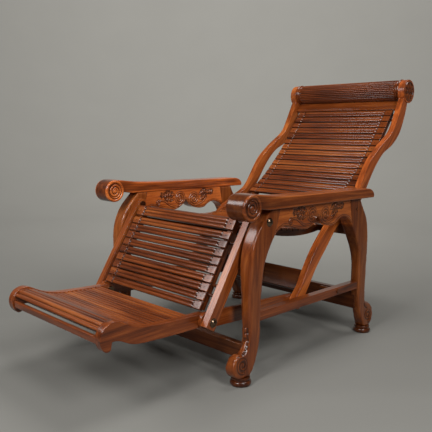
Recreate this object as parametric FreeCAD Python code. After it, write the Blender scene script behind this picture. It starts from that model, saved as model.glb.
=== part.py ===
import FreeCAD, Part
import math
import os

# A planters chair: two carved side frames, a slatted seat, a reclining back on S-shaped rails,
# a swinging leg panel and a hinged footrest. Low link bars join the back to the leg panel.
# Millimetres. X runs across, Y from the front (minus) to the back, Z up from the floor.
# Left is the sitter's left, at plus X. Side-view tables hold (y, z) shares of side_size.

side_size = 1000.0
pad_high_share = 0.026

# Widths across the chair, from its middle plane outwards
frame_middle = 323.0
frame_thick = 50.0
ankle_thick = 31.0
apron_thick = 46.0
arm_wide = 65.0
back_side_gap = 12.0
back_rail_thick = 24.0
leg_side_gap = 10.0
leg_rail_thick = 25.0
link_gap = 1.0
link_thick = 12.0
foot_rail_thick = 26.0
slat_side_gap = 22.0
seat_side_gap = 14.0
batten_inset = 8.0
batten_thick = 20.0
bearer_inset = 4.0
bearer_thick = 22.0
stretcher_thick = 26.0
stretcher_inset = 12.0

# Sections of the bars in the side view
arm_thick = 34.0
side_stretcher_high = 28.0
front_stretcher_deep = 24.0
front_stretcher_high = 48.0
rear_stretcher_deep = 24.0
rear_stretcher_high = 67.0
rear_seat_rail_deep = 23.0
rear_seat_rail_high = 49.5
front_seat_rail_deep = 26.0
front_seat_rail_high = 33.0
cross_board_wide = 74.0
cross_board_thick = 20.0

# Feet, scrolls and head
pad_high = 26.0
pad_radius = 33.0
pad_face_radius = 27.0
arm_scroll_radius = 40.0
head_radius = 48.0
head_proud = 3.0
rosette_radius = 41.0
rosette_thick = 3.5
bolster_radius = 43.0
bolster_reed_count = 24
bolster_reed_high = 2.2
collar_radius = 45.5
collar_wide = 9.0
roll_slack = 0.4

# Slats and what carries them
slat_thick = 12.0
slat_gap = 4.5
slat_pad = 36.0
pad_drop = 1.0
reed_high = 3.2
reeds = 2
back_slat_count = 16
leg_slat_count = 9
seat_slat_count = 16
foot_slat_count = 11
foot_slat_gap = 1.6
nose_slat_wide = 22.0
nose_gap = 17.0
leg_top_wide = 37.0
leg_top_reeds = 3
leg_top_gap = 6.0
leg_top_inset = 2.0
top_slat_wide = 49.5
batten_deep = 20.0
bearer_deep = 18.0
peg_radius = 2.5
peg_sink = 7.0
rod_radius = 5.0

# Pivots
pin_radius = 6.0
pin_slack = 0.08
face_slack = 0.3
dome_radius = 14.0
dome_high = 9.0
inner_head_radius = 11.0
inner_head_high = 6.0
spacer_radius = 16.0
blind_depth = 27.0
washer_thick = 2.5
link_hole_slack = 2.4
link_end_radius = 25.0
foot_end_radius = 20.5
leg_rail_deep = 38.0
leg_rail_foot = 22.0
stop_peg_radius = 8.0
stop_peg_proud = 3.0
plug_radius = 5.5
plug_deep = 10.0
plug_proud = 1.0

frame_inner = frame_middle - frame_thick / 2
frame_outer = frame_middle + frame_thick / 2
arm_outer = frame_inner + arm_wide
back_outer = frame_inner - back_side_gap
back_inner = back_outer - back_rail_thick
leg_outer = frame_inner - leg_side_gap
leg_inner = leg_outer - leg_rail_thick
link_outer = back_inner - link_gap
link_inner = link_outer - link_thick
foot_outer = link_inner - link_gap
foot_inner = foot_outer - foot_rail_thick
slat_reach = back_inner - slat_side_gap
seat_reach = back_inner - seat_side_gap
batten_outer = slat_reach - batten_inset
batten_inner = batten_outer - batten_thick
bearer_outer = seat_reach - bearer_inset
bearer_inner = bearer_outer - bearer_thick
stretcher_outer = frame_outer - stretcher_inset
stretcher_inner = stretcher_outer - stretcher_thick

# Pivots in the side view
leg_hinge_share = (-0.266, 0.491)
foot_hinge_share = (-0.441, 0.203)
back_hinge_share = (0.236, 0.448)
link_hinge_share = (-0.018, 0.182)
stop_peg_share = (0.150, 0.199)
plug_share = (0.234, 0.492)

# Middles of the cross bars' tops, and the ends of the side stretchers' tops
side_stretcher_shares = [(-0.320, 0.213), (0.310, 0.213)]
front_stretcher_share = (-0.320, 0.114)
rear_stretcher_share = (0.302, 0.170)
rear_seat_rail_share = (0.2635, 0.4395)
front_seat_rail_share = (-0.231, 0.463)

# Level of the arms' undersides, where the legs and the aprons end
under_arm_share = 0.530

# Round forms in the side view
arm_scroll_share = (-0.365, 0.541)
head_share = (0.707, 0.944)
bolster_share = (0.708, 0.949)
front_pad_share = (-0.354, 0.0)
rear_pad_share = (0.354, 0.0)

along_x = FreeCAD.Vector(1, 0, 0)
along_z = FreeCAD.Vector(0, 0, 1)
middle = FreeCAD.Vector(0, 0, 0)


def spot(share, x=0.0):
    """A point of the side view; everything stands on the foot pads and rises with them."""
    lift = pad_high - pad_high_share * side_size
    return FreeCAD.Vector(x, share[0] * side_size, share[1] * side_size + lift)


def edge_through(points):
    """Two points make a straight edge, three an arc, more a smooth curve."""
    if len(points) == 2:
        return Part.LineSegment(*points).toShape()
    if len(points) == 3:
        return Part.Arc(*points).toShape()
    curve = Part.BSplineCurve()
    curve.interpolate(points)
    return curve.toShape()


def outline(shares):
    """A closed face in the side view: a first point, then stretches that each run on from the last."""
    start = shares[0]
    edges = []
    last = start
    for stretch in shares[1:]:
        edges.append(edge_through([spot(share) for share in (last, *stretch)]))
        last = stretch[-1]
    if last != start:
        edges.append(edge_through([spot(last), spot(start)]))
    return Part.Face(Part.Wire(edges))


def board(face, inner, outer):
    """A side-view face made as thick as the space from inner to outer."""
    solid = face.extrude(along_x * (outer - inner))
    solid.translate(along_x * inner)
    return solid


def round_bar(share, radius, inner, outer):
    """A cylinder along X at a place of the side view."""
    return Part.makeCylinder(radius, outer - inner, spot(share, inner), along_x)


def dome(share, radius, high, inner):
    """A low domed button along X: the cap of a ball that stands on the plane at inner."""
    ball_radius = (radius * radius + high * high) / (2 * high)
    ball = Part.makeSphere(ball_radius, spot(share, inner + high - ball_radius))
    return ball.common(round_bar(share, radius, inner, inner + high))


def mirrored(shape):
    return shape.mirror(middle, along_x)


def both_sides(shape):
    return [shape, mirrored(shape)]


def path(shares):
    """The line that slats follow, from the front or the bottom to the back or the top."""
    return edge_through([spot(share) for share in shares])


def on_path(line, distance, depth=0.0):
    """A point at a distance along a path, at a depth behind it."""
    place = line.getParameterByLength(distance)
    tangent = line.tangentAt(place)
    outwards = FreeCAD.Vector(0, -tangent.z, tangent.y)
    return line.valueAt(place) - outwards * depth


def band(line, near, far, start, end, count):
    """A face along a path, between two depths behind it."""
    shares = [step / (count - 1) for step in range(count)]
    steps = [start * (1 - share) + end * share for share in shares]
    front = [on_path(line, distance, near) for distance in steps]
    rear = [on_path(line, distance, far) for distance in reversed(steps)]
    edges = [edge_through(front), edge_through([front[-1], rear[0]])]
    edges += [edge_through(rear), edge_through([rear[-1], front[0]])]
    return Part.Face(Part.Wire(edges))


def laid(shape, line, start, width):
    """A copy of a shape modelled at the origin, laid on a path from start to start + width."""
    first = on_path(line, start)
    along = on_path(line, start + width) - first
    turned = shape.copy()
    turned.rotate(middle, along_x, math.degrees(math.atan2(along.z, along.y)))
    turned.translate(first)
    return turned


def laid_straight(shape, line):
    """A copy of a shape modelled at the origin, laid along a straight path from its start."""
    return laid(shape, line, 0, line.Length)


def slat_pegs(width, reach):
    """The two pegs of one slat, at the middles of its end pads."""
    pegs = []
    for side in (-1, 1):
        foot = FreeCAD.Vector(side * (reach - slat_pad / 2), width / 2, -slat_thick - peg_sink)
        pegs.append(Part.makeCylinder(peg_radius, slat_thick + peg_sink - pad_drop / 2, foot))
    return pegs


def reeded_slat(width, reach, pad, count=reeds):
    """A slat along X with its crest at height zero: reeds between two flat end pads."""
    reed_wide = width / count
    corners = [(0, -reed_high), (0, -slat_thick), (width, -slat_thick), (width, -reed_high)]
    points = [FreeCAD.Vector(pad - reach, y, z) for y, z in corners]
    edges = [edge_through(pair) for pair in zip(points, points[1:])]
    for reed in range(count, 0, -1):
        ends = [(reed, -reed_high), (reed - 0.5, 0), (reed - 1, -reed_high)]
        edges.append(edge_through([FreeCAD.Vector(pad - reach, y * reed_wide, z) for y, z in ends]))
    slat = Part.Face(Part.Wire(edges)).extrude(along_x * (2 * (reach - pad)))
    if pad:
        high = slat_thick - pad_drop
        for low in (-reach, reach - pad):
            slat = slat.fuse(Part.makeBox(pad, width, high, FreeCAD.Vector(low, 0, -slat_thick)))
    return slat


def plain_bar(width, reach, thick):
    """A plain bar along X with its front face at height zero."""
    return Part.makeBox(2 * reach, width, thick, FreeCAD.Vector(-reach, 0, -thick))


def legs():
    """Front and rear cabriole legs, thinned towards the foot and ending in a scroll."""
    front_leg_shares = [
        (-0.256, under_arm_share),
        [(-0.287, 0.499), (-0.311, 0.470), (-0.327, 0.440), (-0.338, 0.405), (-0.343, 0.360),
         (-0.342, 0.270), (-0.336, 0.187), (-0.333, 0.150), (-0.340, 0.116), (-0.359, 0.094)],
        [(-0.405, 0.064), (-0.379, pad_high_share)],
        [(-0.335, pad_high_share)],
        [(-0.302, 0.069), (-0.288, 0.112), (-0.286, 0.190), (-0.284, 0.300),
         (-0.279, 0.362), (-0.261, 0.407), (-0.235, 0.447)],
        [(-0.212, under_arm_share)],
    ]
    rear_leg_shares = [
        (0.258, under_arm_share),
        [(0.271, 0.505), (0.306, 0.456), (0.320, 0.415), (0.327, 0.368), (0.334, 0.300),
         (0.337, 0.225), (0.336, 0.160), (0.343, 0.129), (0.364, 0.113)],
        [(0.402, 0.075), (0.375, pad_high_share)],
        [(0.337, pad_high_share)],
        [(0.317, 0.064), (0.301, 0.105), (0.291, 0.150), (0.283, 0.220), (0.282, 0.286),
         (0.267, 0.345), (0.251, 0.372), (0.236, 0.397), (0.213, 0.429)],
        [(0.190, under_arm_share)],
    ]
    thin = thinning()
    pieces = []
    for shares in (front_leg_shares, rear_leg_shares):
        pieces.append(board(outline(shares), frame_inner, frame_outer).common(thin))
    return pieces


def thinning():
    """The legs' shape seen from the front, fuller again at the feet, as a block as long as the chair."""
    thinning_shares = [(0.380, 1.0), (0.340, 0.92), (0.280, 0.5), (0.170, 0.38), (0.115, 0.1), (0.090, 0.1),
                       (0.055, 0.4), (0.0, 0.4)]
    spare = (frame_thick - ankle_thick) / 2

    def side_points(side):
        points = []
        for high, share in thinning_shares:
            points.append(spot((-1, high), frame_middle + side * (ankle_thick / 2 + spare * share)))
        return points

    outer = side_points(1)
    inner = list(reversed(side_points(-1)))
    top = [spot((-1, 1), frame_middle + side * frame_thick / 2) for side in (-1, 1)]
    edges = [edge_through(outer), edge_through([outer[-1], inner[0]]), edge_through(inner)]
    edges += [edge_through([inner[-1], top[0]])]
    edges += [edge_through(top), edge_through([top[1], outer[0]])]
    return Part.Face(Part.Wire(edges)).extrude(FreeCAD.Vector(0, 2 * side_size, 0))


def foot_pad(share):
    """A turned pad under a leg, with a bulging rim."""
    centre = FreeCAD.Vector(frame_middle, share[0] * side_size, 0)
    flat = along_x * pad_face_radius
    top = along_z * pad_high
    arc = Part.Arc(centre + flat, centre + along_x * pad_radius + top / 2, centre + flat + top).toShape()
    edges = [edge_through([centre, centre + flat]), arc]
    edges += [edge_through([centre + flat + top, centre + top]), edge_through([centre + top, centre])]
    return Part.Face(Part.Wire(edges)).revolve(centre, along_z, 360)


def apron():
    """The shaped board between the legs: an arch at each end, and two lobes that meet in a cusp."""
    apron_shares = [
        (-0.212, under_arm_share),
        [(-0.235, 0.447)],
        [(-0.214, 0.463), (-0.190, 0.471), (-0.166, 0.468), (-0.130, 0.458), (-0.095, 0.452),
         (-0.066, 0.451), (-0.042, 0.459), (-0.024, 0.472), (-0.010, 0.485)],
        [(-0.003, 0.485)],
        [(0.005, 0.472), (0.023, 0.459), (0.045, 0.451), (0.068, 0.447), (0.100, 0.451)],
        [(0.117, 0.463), (0.142, 0.471), (0.171, 0.467), (0.196, 0.454), (0.213, 0.429)],
        [(0.190, under_arm_share)],
    ]
    return board(outline(apron_shares), frame_middle - apron_thick / 2, frame_middle + apron_thick / 2)


def arm():
    """The flat arm, rising into the scroll at its front."""
    thick_share = arm_thick / side_size
    crest_share = (arm_scroll_share[0], arm_scroll_share[1] + arm_scroll_radius / side_size)
    # Here the second share of a pair is of the arm's thickness
    neck_shares = [(-0.333, 1.46), (-0.277, 1.25), (-0.214, 1.12), (-0.120, 1.05)]
    top_shares = [(0.279, 1.02)]
    end_shares = [(0.306, 0.92), (0.322, 0.65), (0.330, 0.29)]
    under_shares = [(0.328, 0.0), (-0.285, 0.0), (-0.330, 0.18)]

    def risen(shares):
        return [(along, under_arm_share + rise * thick_share) for along, rise in shares]

    arm_shares = [crest_share, risen(neck_shares), risen(top_shares), risen(end_shares)]
    arm_shares += [[share] for share in risen(under_shares)]
    arm_shares.append([arm_scroll_share])
    scroll = round_bar(arm_scroll_share, arm_scroll_radius, frame_inner, arm_outer)
    return board(outline(arm_shares), frame_inner, arm_outer).fuse(scroll).removeSplitter()


def side_bar(front_share, rear_share, high, inner, outer):
    """A square-edged bar from front to back, under two places of the side view at one level."""
    front = spot(front_share, inner)
    long = spot(rear_share).y - front.y
    return Part.makeBox(outer - inner, long, high, front - along_z * high)


def cross_bar(share, deep, high, reach):
    """A square-edged bar across the chair, with the middle of its top at a place of the side view."""
    top = spot(share, -reach)
    return Part.makeBox(2 * reach, deep, high, top - FreeCAD.Vector(0, deep / 2, high))


def back_rail():
    """The S-shaped side rail of the back, from the scrolled head to the link pivot."""
    rail_shares = [
        (0.672, 0.915),
        [(0.645, 0.865), (0.623, 0.823), (0.594, 0.778), (0.555, 0.749), (0.509, 0.721),
         (0.465, 0.690), (0.429, 0.661), (0.400, 0.627), (0.356, 0.562), (0.322, 0.524),
         (0.277, 0.501), (0.226, 0.475), (0.176, 0.448), (0.123, 0.404), (0.071, 0.349),
         (0.032, 0.294), (-0.005, 0.232)],
        [(-0.039, 0.196)],
        [(-0.018, 0.156), (0.008, 0.184)],
        [(0.037, 0.222), (0.076, 0.280), (0.128, 0.338), (0.182, 0.398), (0.212, 0.426),
         (0.262, 0.443), (0.297, 0.459), (0.338, 0.481), (0.375, 0.518), (0.405, 0.557),
         (0.442, 0.609), (0.470, 0.642), (0.499, 0.670), (0.529, 0.692), (0.576, 0.713),
         (0.616, 0.738), (0.653, 0.775), (0.676, 0.817), (0.692, 0.857), (0.703, 0.897)],
        [head_share],
    ]
    head = round_bar(head_share, head_radius, back_inner, back_outer + head_proud)
    return board(outline(rail_shares), back_inner, back_outer).fuse(head).removeSplitter()


def bolster():
    """The reeded roll between the rail heads, with a plain collar at each end."""
    centre = spot(bolster_share, -back_inner)
    valley = bolster_radius - bolster_reed_high
    turn = 2 * math.pi / bolster_reed_count

    def rim(step, radius):
        angle = step * turn
        return centre + FreeCAD.Vector(0, radius * math.cos(angle), radius * math.sin(angle))

    edges = []
    for reed in range(bolster_reed_count):
        ends = [rim(reed, valley), rim(reed + 0.5, bolster_radius), rim((reed + 1) % bolster_reed_count, valley)]
        edges.append(edge_through(ends))
    roll = Part.Face(Part.Wire(edges)).extrude(along_x * (2 * back_inner))
    for low in (-back_inner, back_inner - collar_wide):
        roll = roll.fuse(round_bar(bolster_share, collar_radius, low, low + collar_wide))
    return roll


def save(name, shape, shift):
    """Writes one node, moved so that the whole chair's middle is at the origin."""
    placed = shape.copy()
    placed.translate(shift)
    placed.exportStep("parts/" + name + ".step")


def base_pieces(nodes):
    """The fixed frame: side frames, stretchers, seat and feet."""
    front_leg, rear_leg = legs()
    side_apron = apron()
    back_pin_hole = round_bar(back_hinge_share, pin_radius, frame_inner, frame_inner + blind_depth)
    leg_pin_hole = round_bar(leg_hinge_share, pin_radius, frame_inner, frame_outer)
    plug = round_bar(plug_share, plug_radius, frame_outer - plug_deep, frame_outer + plug_proud)
    stop_peg = round_bar(stop_peg_share, stop_peg_radius, back_inner, stretcher_outer + stop_peg_proud)
    side_stretcher = side_bar(side_stretcher_shares[0], side_stretcher_shares[1], side_stretcher_high,
                              stretcher_inner, stretcher_outer)
    side_stretcher = side_stretcher.cut([front_leg, rear_leg, stop_peg])
    pair(nodes, "front_leg", front_leg.cut(leg_pin_hole))
    pair(nodes, "rear_leg", rear_leg.cut([back_pin_hole, plug]))
    pair(nodes, "apron", side_apron)
    pair(nodes, "arm", arm())
    pair(nodes, "front_foot_pad", foot_pad(front_pad_share))
    pair(nodes, "rear_foot_pad", foot_pad(rear_pad_share))
    pair(nodes, "side_stretcher", largest(side_stretcher))
    nodes["joint_plugs"] = both_sides(plug)
    nodes["back_stop_pegs"] = both_sides(stop_peg)

    frame_sides = [front_leg, rear_leg, mirrored(front_leg), mirrored(rear_leg)]
    front_stretcher = cross_bar(front_stretcher_share, front_stretcher_deep, front_stretcher_high, frame_middle)
    rear_stretcher = cross_bar(rear_stretcher_share, rear_stretcher_deep, rear_stretcher_high, frame_middle)
    nodes["front_stretcher"] = largest(front_stretcher.cut(frame_sides))
    nodes["rear_stretcher"] = largest(rear_stretcher.cut(frame_sides))
    rear_seat_rail = cross_bar(rear_seat_rail_share, rear_seat_rail_deep, rear_seat_rail_high, frame_inner)
    front_seat_rail = cross_bar(front_seat_rail_share, front_seat_rail_deep, front_seat_rail_high, frame_inner)

    seat_shares = [(-0.233, 0.482), (-0.190, 0.470), (-0.150, 0.460), (-0.100, 0.449), (-0.050, 0.441),
                   (0.000, 0.436), (0.050, 0.434), (0.100, 0.436), (0.150, 0.442), (0.200, 0.451),
                   (0.271, 0.468)]
    seat = path(seat_shares)
    lay_slats(nodes, "seat", seat, seat_slat_count, slat_gap, seat_reach, slat_pad)
    nodes["rear_seat_rail"] = rear_seat_rail.cut(nodes["seat_slat_pegs"])
    nodes["front_seat_rail"] = front_seat_rail.cut(nodes["seat_slat_pegs"])
    bearer_start = slat_thick / 2
    bearer_face = band(seat, slat_thick, slat_thick + bearer_deep, bearer_start, seat.Length, seat_slat_count // 2)
    bearer = board(bearer_face, bearer_inner, bearer_outer)
    bearer = bearer.cut([front_seat_rail, rear_seat_rail] + nodes["seat_slats"] + nodes["seat_slat_pegs"])
    pair(nodes, "seat_bearer", largest(bearer))

    back_pin = round_bar(back_hinge_share, pin_radius, back_inner - face_slack, frame_inner + blind_depth)
    head = round_bar(back_hinge_share, inner_head_radius, back_inner - face_slack - inner_head_high,
                     back_inner - face_slack)
    nodes["back_pivot_pins"] = both_sides(back_pin.fuse(head))
    spacer = round_bar(back_hinge_share, spacer_radius, back_outer + face_slack, frame_inner)
    nodes["back_pivot_spacers"] = both_sides(spacer.cut(back_pin))
    leg_pin = round_bar(leg_hinge_share, pin_radius, leg_inner - face_slack, frame_outer)
    leg_head = round_bar(leg_hinge_share, inner_head_radius, leg_inner - face_slack - inner_head_high,
                         leg_inner - face_slack)
    leg_dome = dome(leg_hinge_share, dome_radius, dome_high, frame_outer)
    nodes["leg_hinge_pins"] = both_sides(leg_pin.fuse([leg_head, leg_dome]))
    leg_spacer = round_bar(leg_hinge_share, dome_radius, leg_outer + face_slack, frame_inner)
    nodes["leg_hinge_spacers"] = both_sides(leg_spacer.cut(leg_pin))


def back_pieces(nodes):
    """The reclining back."""
    back_shares = [(0.312, 0.512), (0.340, 0.528), (0.370, 0.547), (0.406, 0.573), (0.460, 0.622),
                   (0.511, 0.672), (0.560, 0.728), (0.613, 0.795), (0.671, 0.869)]
    rod_shares = [0.05, 0.92]
    slats = path(back_shares)
    lay_slats(nodes, "back", slats, back_slat_count, slat_gap, slat_reach, slat_pad)
    rods = [rod_at(slats, slats.Length * share, back_inner) for share in rod_shares]
    batten_face = band(slats, slat_thick, slat_thick + batten_deep, 0, slats.Length, back_slat_count // 2)
    batten = board(batten_face, batten_inner, batten_outer)
    batten = batten.cut(nodes["back_slats"] + nodes["back_slat_pegs"] + rods)
    pair(nodes, "back_batten", largest(batten))
    nodes["back_rods"] = rods

    pivot_hole = round_bar(back_hinge_share, pin_radius + pin_slack, back_inner, back_outer)
    link_pin = round_bar(link_hinge_share, pin_radius, link_inner - face_slack, back_outer)
    rail = back_rail().cut([pivot_hole, link_pin])
    pair(nodes, "back_rail", rail)
    rosette = round_bar(head_share, rosette_radius, back_outer + head_proud,
                        back_outer + head_proud + rosette_thick)
    pair(nodes, "head_rosette", rosette)
    nodes["head_bolster"] = bolster()

    top_slat = plain_bar(top_slat_wide, back_inner, slat_thick)
    top_slat_shares = [(0.6722, 0.8706), (0.7030, 0.9094)]
    top_slat = laid_straight(top_slat, path(top_slat_shares))
    roll_room = round_bar(bolster_share, bolster_radius + roll_slack, -back_inner, back_inner)
    collar_room = round_bar(bolster_share, collar_radius + roll_slack, back_inner - collar_wide - roll_slack,
                            back_inner)
    nodes["back_top_slat"] = top_slat.cut([roll_room] + both_sides(collar_room))

    cross_board = plain_bar(cross_board_wide, back_inner, cross_board_thick)
    cross_board_shares = [(0.000, 0.218), (0.035, 0.283)]
    nodes["back_cross_board"] = laid_straight(cross_board, path(cross_board_shares))
    inner_head = round_bar(link_hinge_share, inner_head_radius, link_inner - face_slack - inner_head_high,
                           link_inner - face_slack)
    outer_head = dome(link_hinge_share, inner_head_radius, inner_head_high, back_outer)
    nodes["link_pins"] = both_sides(link_pin.fuse([inner_head, outer_head]))


def leg_panel_pieces(nodes):
    """The leg panel, which hangs from the front legs."""
    leg_panel_shares = [(-0.4534, 0.2325), (-0.294, 0.4934)]
    rod_shares = [0.22, 0.34, 0.88]
    line = path(leg_panel_shares)
    top_start = line.Length - leg_top_inset - leg_top_wide
    slats_long = top_start - leg_top_gap
    lay_slats(nodes, "leg", line, leg_slat_count, slat_gap, slat_reach, slat_pad, slats_long)
    pegs = slat_pegs(leg_top_wide, slat_reach)
    top_bar = reeded_slat(leg_top_wide, slat_reach, slat_pad, leg_top_reeds).cut(pegs)
    nodes["leg_top_bar"] = laid(top_bar, line, top_start, leg_top_wide)
    nodes["leg_slat_pegs"] += [laid(peg, line, top_start, leg_top_wide) for peg in pegs]
    rods = [rod_at(line, slats_long * share, leg_inner) for share in rod_shares]
    batten_face = band(line, slat_thick, slat_thick + batten_deep, batten_inset, top_start + leg_top_wide, 2)
    batten = board(batten_face, batten_inner, batten_outer).cut(nodes["leg_slat_pegs"] + rods)
    pair(nodes, "leg_batten", largest(batten))
    nodes["leg_rods"] = rods

    hinge = spot(leg_hinge_share)
    foot = spot(foot_hinge_share)
    down = (foot - hinge).normalize()
    front = FreeCAD.Vector(0, down.z, -down.y) * (leg_rail_deep / 2)
    low = foot + down * leg_rail_foot
    edges = [edge_through([hinge + front, low + front]), edge_through([low + front, low - front])]
    edges += [edge_through([low - front, hinge - front])]
    edges += [edge_through([hinge - front, hinge - down * (leg_rail_deep / 2), hinge + front])]
    rail = board(Part.Face(Part.Wire(edges)), leg_inner, leg_outer)
    hinge_hole = round_bar(leg_hinge_share, pin_radius + pin_slack, leg_inner, leg_outer)
    bolt = round_bar(foot_hinge_share, pin_radius, foot_inner - face_slack, leg_outer + washer_thick)
    pair(nodes, "leg_rail", rail.cut([hinge_hole, bolt]))
    inner_head = round_bar(foot_hinge_share, inner_head_radius, foot_inner - face_slack - inner_head_high,
                           foot_inner - face_slack)
    outer_head = dome(foot_hinge_share, inner_head_radius, inner_head_high, leg_outer + washer_thick)
    nodes["foot_hinge_bolts"] = both_sides(bolt.fuse([inner_head, outer_head]))
    washer = round_bar(foot_hinge_share, dome_radius, leg_outer, leg_outer + washer_thick).cut(bolt)
    nodes["foot_hinge_washers"] = both_sides(washer)


def link_pieces(nodes):
    """The two flat bars that tie the back's foot to the leg panel's foot."""
    front = spot(foot_hinge_share)
    rear = spot(link_hinge_share)
    along = (rear - front).normalize()
    up = FreeCAD.Vector(0, -along.z, along.y) * link_end_radius
    edges = [edge_through([front + up, front - along * link_end_radius, front - up])]
    edges += [edge_through([front - up, rear - up])]
    edges += [edge_through([rear - up, rear + along * link_end_radius, rear + up])]
    edges += [edge_through([rear + up, front + up])]
    bar = board(Part.Face(Part.Wire(edges)), link_inner, link_outer)
    front_hole = round_bar(foot_hinge_share, pin_radius + link_hole_slack, link_inner, link_outer)
    rear_hole = round_bar(link_hinge_share, pin_radius + pin_slack, link_inner, link_outer)
    pair(nodes, "link_bar", bar.cut([front_hole, rear_hole]))


def footrest_pieces(nodes):
    """The footrest, hinged at the foot of the leg panel, with its rolled nose."""
    end = foot_end_radius / side_size
    hinge_y, hinge_z = foot_hinge_share
    foot_rail_shares = [
        (hinge_y, hinge_z + end),
        [(-0.480, 0.223), (-0.543, 0.224), (-0.600, 0.227), (-0.655, 0.232), (-0.699, 0.243),
         (-0.729, 0.257), (-0.756, 0.268), (-0.782, 0.264), (-0.799, 0.250), (-0.806, 0.231),
         (-0.803, 0.210), (-0.795, 0.197)],
        [(-0.784, 0.191), (-0.773, 0.195)],
        [(-0.769, 0.215)],
        [(-0.745, 0.212), (-0.713, 0.197), (-0.680, 0.189), (-0.640, 0.186), (-0.555, 0.183),
         (-0.500, 0.182), (hinge_y, hinge_z - end)],
        [(hinge_y + end, hinge_z), (hinge_y, hinge_z + end)],
    ]
    hole = round_bar(foot_hinge_share, pin_radius + pin_slack, foot_inner, foot_outer)
    pair(nodes, "foot_rail", board(outline(foot_rail_shares), foot_inner, foot_outer).cut(hole))

    foot_shares = [(-0.8005, 0.209), (-0.803, 0.231), (-0.797, 0.248), (-0.781, 0.261), (-0.756, 0.265),
                   (-0.729, 0.254), (-0.699, 0.240), (-0.655, 0.229), (-0.600, 0.224), (-0.543, 0.221),
                   (-0.476, 0.220)]
    line = path(foot_shares)
    first = nose_slat_wide + nose_gap
    pitch = (line.Length - first) / foot_slat_count
    slat = reeded_slat(pitch - foot_slat_gap, foot_inner, 0)
    nodes["foot_slats"] = []
    for step in range(foot_slat_count):
        nodes["foot_slats"].append(laid(slat, line, first + step * pitch, pitch - foot_slat_gap))
    nose_slat = laid(plain_bar(nose_slat_wide, foot_inner, slat_thick), line, 0, nose_slat_wide)
    nodes["foot_nose_slat"] = nose_slat.cut(nodes["foot_slats"][0])


def rod_at(line, distance, reach):
    """A round rod across the chair, in the middle of the battens' depth."""
    centre = on_path(line, distance, slat_thick + batten_deep / 2)
    return Part.makeCylinder(rod_radius, 2 * reach, centre - along_x * reach, along_x)


def lay_slats(nodes, name, line, count, gap, reach, pad, long=None):
    """Lays evenly spaced slats and their pegs along a path."""
    pitch = (long or line.Length) / count
    width = pitch - gap
    pegs = slat_pegs(width, reach)
    slat = reeded_slat(width, reach, pad).cut(pegs)
    nodes[name + "_slats"] = []
    nodes[name + "_slat_pegs"] = []
    for step in range(count):
        start = step * pitch + gap / 2
        nodes[name + "_slats"].append(laid(slat, line, start, width))
        nodes[name + "_slat_pegs"] += [laid(peg, line, start, width) for peg in pegs]


def largest(shape):
    """The main solid of a shape that a cut may have trimmed."""
    return max(shape.Solids, key=lambda solid: solid.Volume)


def pair(nodes, name, left):
    nodes[name + "_left"] = left
    nodes[name + "_right"] = mirrored(left)


def main():
    os.makedirs("parts", exist_ok=True)
    nodes = {}
    base_pieces(nodes)
    back_pieces(nodes)
    leg_panel_pieces(nodes)
    link_pieces(nodes)
    footrest_pieces(nodes)
    front = nodes["foot_rail_left"].optimalBoundingBox().YMin
    rear = nodes["back_rail_left"].optimalBoundingBox().YMax
    shift = FreeCAD.Vector(0, -(front + rear) / 2, 0)
    for name, shape in nodes.items():
        if isinstance(shape, list):
            shape = Part.makeCompound(shape)
        save(name, shape, shift)
    print(len(nodes), "nodes, shifted by", shift.y)


main()
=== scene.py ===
import math
import random

import bmesh
import bpy
from bpy.props import FloatProperty, FloatVectorProperty, IntProperty, PointerProperty
from bpy.types import Operator, Panel, PropertyGroup
from mathutils import Matrix, Vector
from mathutils.kdtree import KDTree


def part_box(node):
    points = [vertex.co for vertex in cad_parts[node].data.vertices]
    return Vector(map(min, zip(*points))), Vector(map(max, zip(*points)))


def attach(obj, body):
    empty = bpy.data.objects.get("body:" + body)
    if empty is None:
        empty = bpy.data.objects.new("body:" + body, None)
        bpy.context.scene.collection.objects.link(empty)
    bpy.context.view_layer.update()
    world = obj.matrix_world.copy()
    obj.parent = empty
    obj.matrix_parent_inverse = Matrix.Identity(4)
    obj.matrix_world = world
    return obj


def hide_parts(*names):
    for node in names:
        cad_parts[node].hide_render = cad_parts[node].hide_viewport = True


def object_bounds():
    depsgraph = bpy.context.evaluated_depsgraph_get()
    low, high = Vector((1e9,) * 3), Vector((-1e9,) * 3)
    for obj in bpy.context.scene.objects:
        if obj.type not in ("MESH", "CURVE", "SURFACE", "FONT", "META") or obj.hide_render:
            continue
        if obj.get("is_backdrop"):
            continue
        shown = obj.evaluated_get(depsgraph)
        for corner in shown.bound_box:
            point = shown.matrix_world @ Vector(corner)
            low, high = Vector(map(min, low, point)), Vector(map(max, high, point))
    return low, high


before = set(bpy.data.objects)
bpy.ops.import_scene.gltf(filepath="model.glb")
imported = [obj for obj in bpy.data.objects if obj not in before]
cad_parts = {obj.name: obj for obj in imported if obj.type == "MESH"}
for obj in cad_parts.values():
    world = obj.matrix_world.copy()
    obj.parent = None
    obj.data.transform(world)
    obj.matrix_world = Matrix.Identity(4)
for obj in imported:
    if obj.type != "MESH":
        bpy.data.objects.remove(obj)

bl_info = {
    "name": "Planters chair",
    "version": (1, 0, 0),
    "blender": (4, 5, 0),
    "location": "View3D > Sidebar > Planters chair",
    "description": "Polished hardwood planters chair with carved aprons, scrolled arms and reeded slats",
    "category": "Add Mesh",
}

SIDES = ("left", "right")
SIDE_SIGN = {"left": 1, "right": -1}
ENDS = ("front", "rear")

# The boxes that the lamps, the aprons' line and the head roll are placed from, in metres
CHAIR_LOW, CHAIR_HIGH = (Vector(corner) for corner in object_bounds())
APRON_LOW, APRON_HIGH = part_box("apron_left")
ROLL_LOW, ROLL_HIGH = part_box("head_bolster")

# Directions of the grain in the side view, in degrees up from level
UPRIGHT = 90
LEVEL = 0
BACK_SLOPE = 46
LEG_SLOPE = 59
ACROSS = None

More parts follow.
